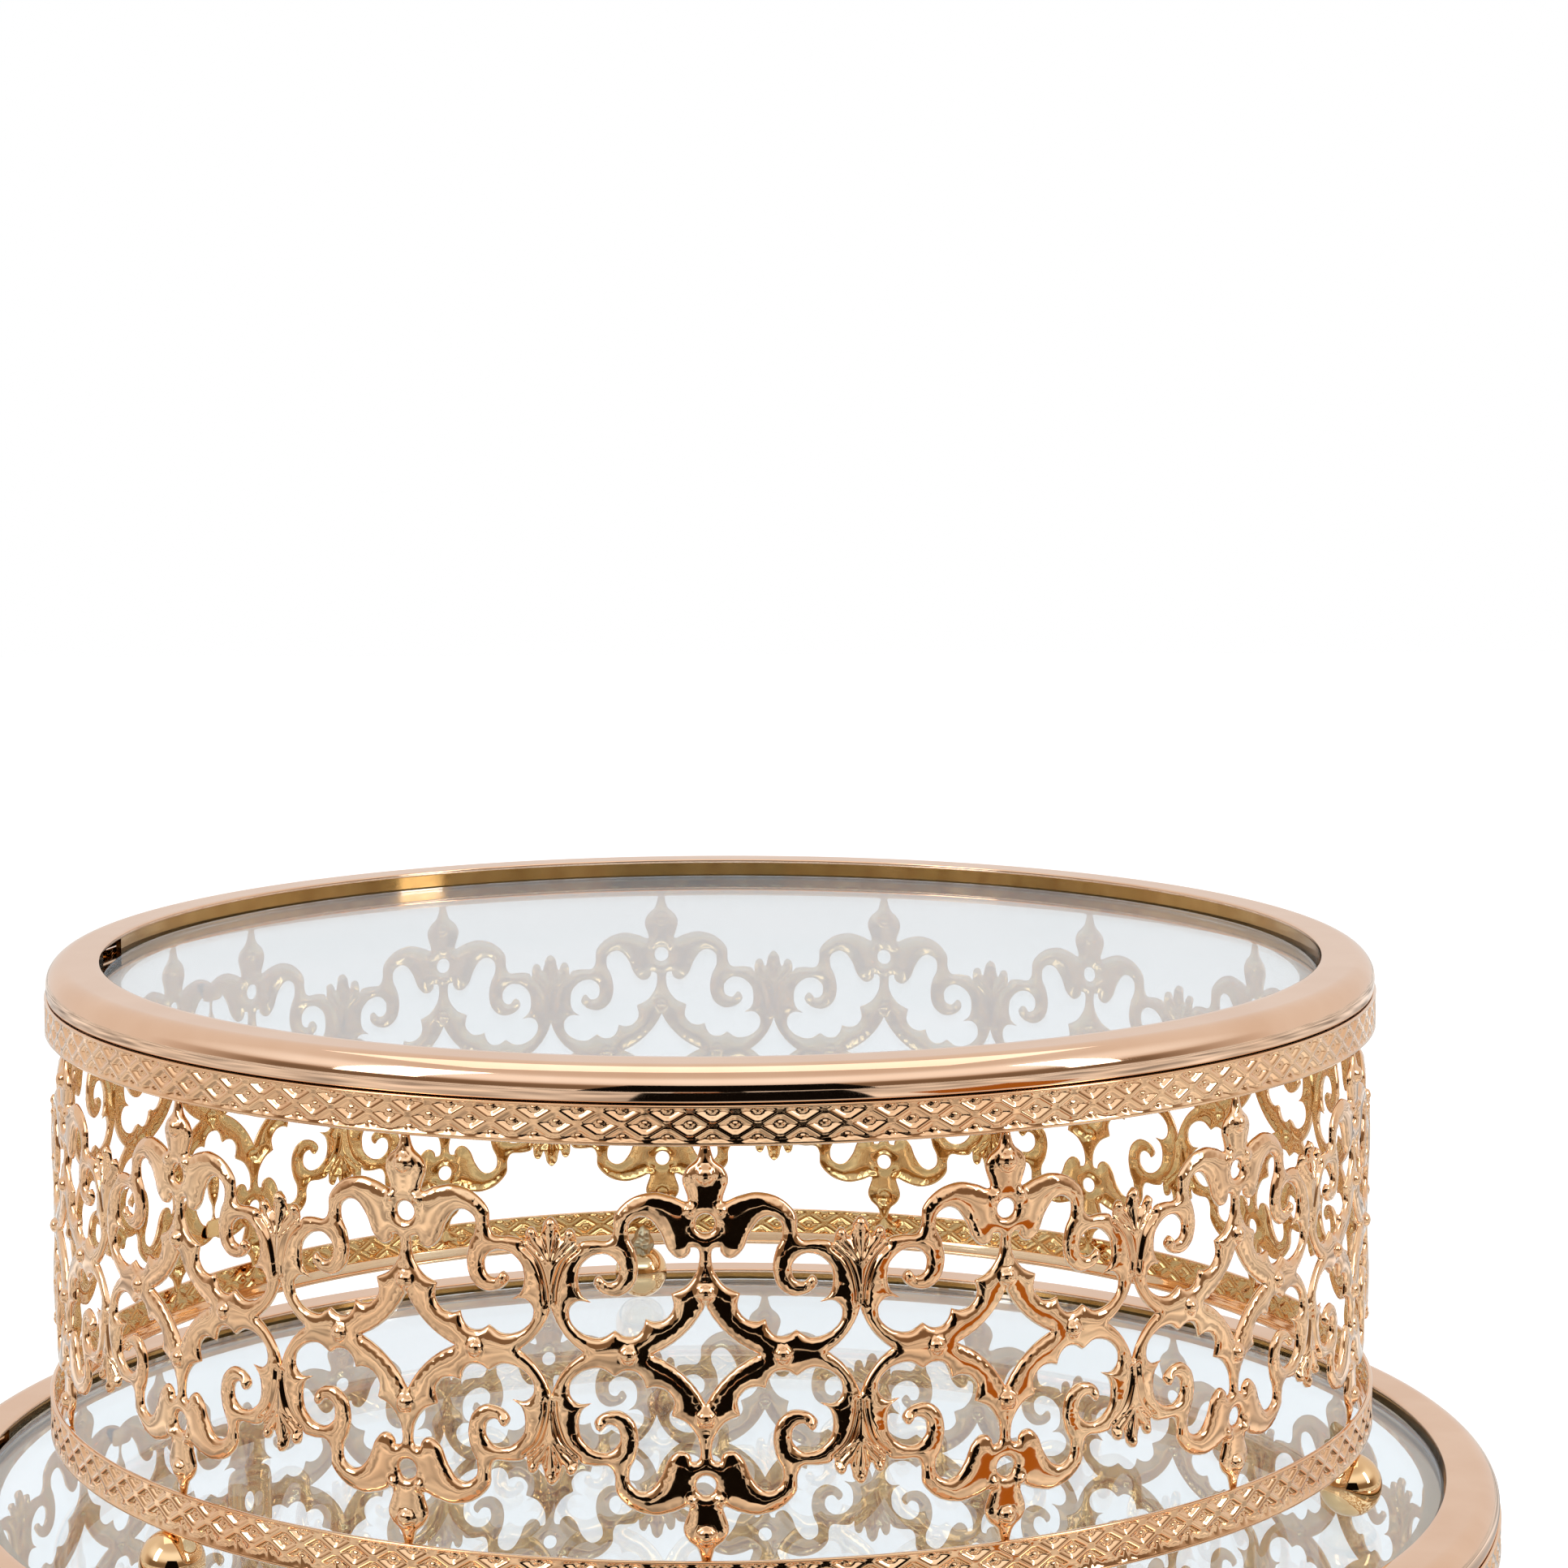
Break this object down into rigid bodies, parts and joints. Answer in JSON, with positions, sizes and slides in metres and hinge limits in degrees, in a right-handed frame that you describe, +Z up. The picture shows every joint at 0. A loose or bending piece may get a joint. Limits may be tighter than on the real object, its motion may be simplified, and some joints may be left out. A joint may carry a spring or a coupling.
{
  "type": "tiered cake stand",
  "caption": "Tiered cake stand: drum trays with pierced scrollwork walls, embossed bands, ball feet and lift-out glass plates, stacked loose.",
  "frame": {"origin": "middle of the footprint, on the surface that the lower feet stand on", "axes": "+Z up along the stand's axis; -Y is the front, +X is the right seen from the front"},
  "size_m": [0.305, 0.305, 0.2011],
  "materials": {
    "plated_rim": "polished rose gold plating",
    "plated_wall": "bright rose gold plating on embossed strip",
    "plated_ball": "mirror rose gold plating",
    "plate_glass": "clear, ground edge",
    "solder": "plated over, rough"
  },
  "bodies": {
    "lower_frame": {"lower_rim": "plated_rim", "lower_collar": "plated_rim", "lower_seat_ring": "plated_wall", "lower_top_band": "plated_wall", "lower_gallery": "plated_wall", "lower_gallery_splice": "plated_wall", "lower_base_band": "plated_wall", "lower_foot_front_left": "plated_ball", "lower_foot_front_right": "plated_ball", "lower_foot_rear": "plated_ball", "lower_foot_solder": "solder"},
    "lower_plate": {"lower_glass": "plate_glass"},
    "upper_frame": {"upper_rim": "plated_rim", "upper_collar": "plated_rim", "upper_seat_ring": "plated_wall", "upper_top_band": "plated_wall", "upper_gallery": "plated_wall", "upper_gallery_splice": "plated_wall", "upper_base_band": "plated_wall", "upper_foot_front_left": "plated_ball", "upper_foot_front_right": "plated_ball", "upper_foot_rear": "plated_ball", "upper_foot_solder": "solder"},
    "upper_plate": {"upper_glass": "plate_glass"}
  },
  "joints": [
    {"name": "lower_glass_lift", "type": "slide", "parent": "lower_frame", "child": "lower_plate", "axis": [0, 0, 1], "range_m": [0, 0.03]},
    {"name": "upper_tray_lift", "type": "slide", "parent": "lower_plate", "child": "upper_frame", "axis": [0, 0, 1], "range_m": [0, 0.12]},
    {"name": "upper_glass_lift", "type": "slide", "parent": "upper_frame", "child": "upper_plate", "axis": [0, 0, 1], "range_m": [0, 0.03]}
  ]
}
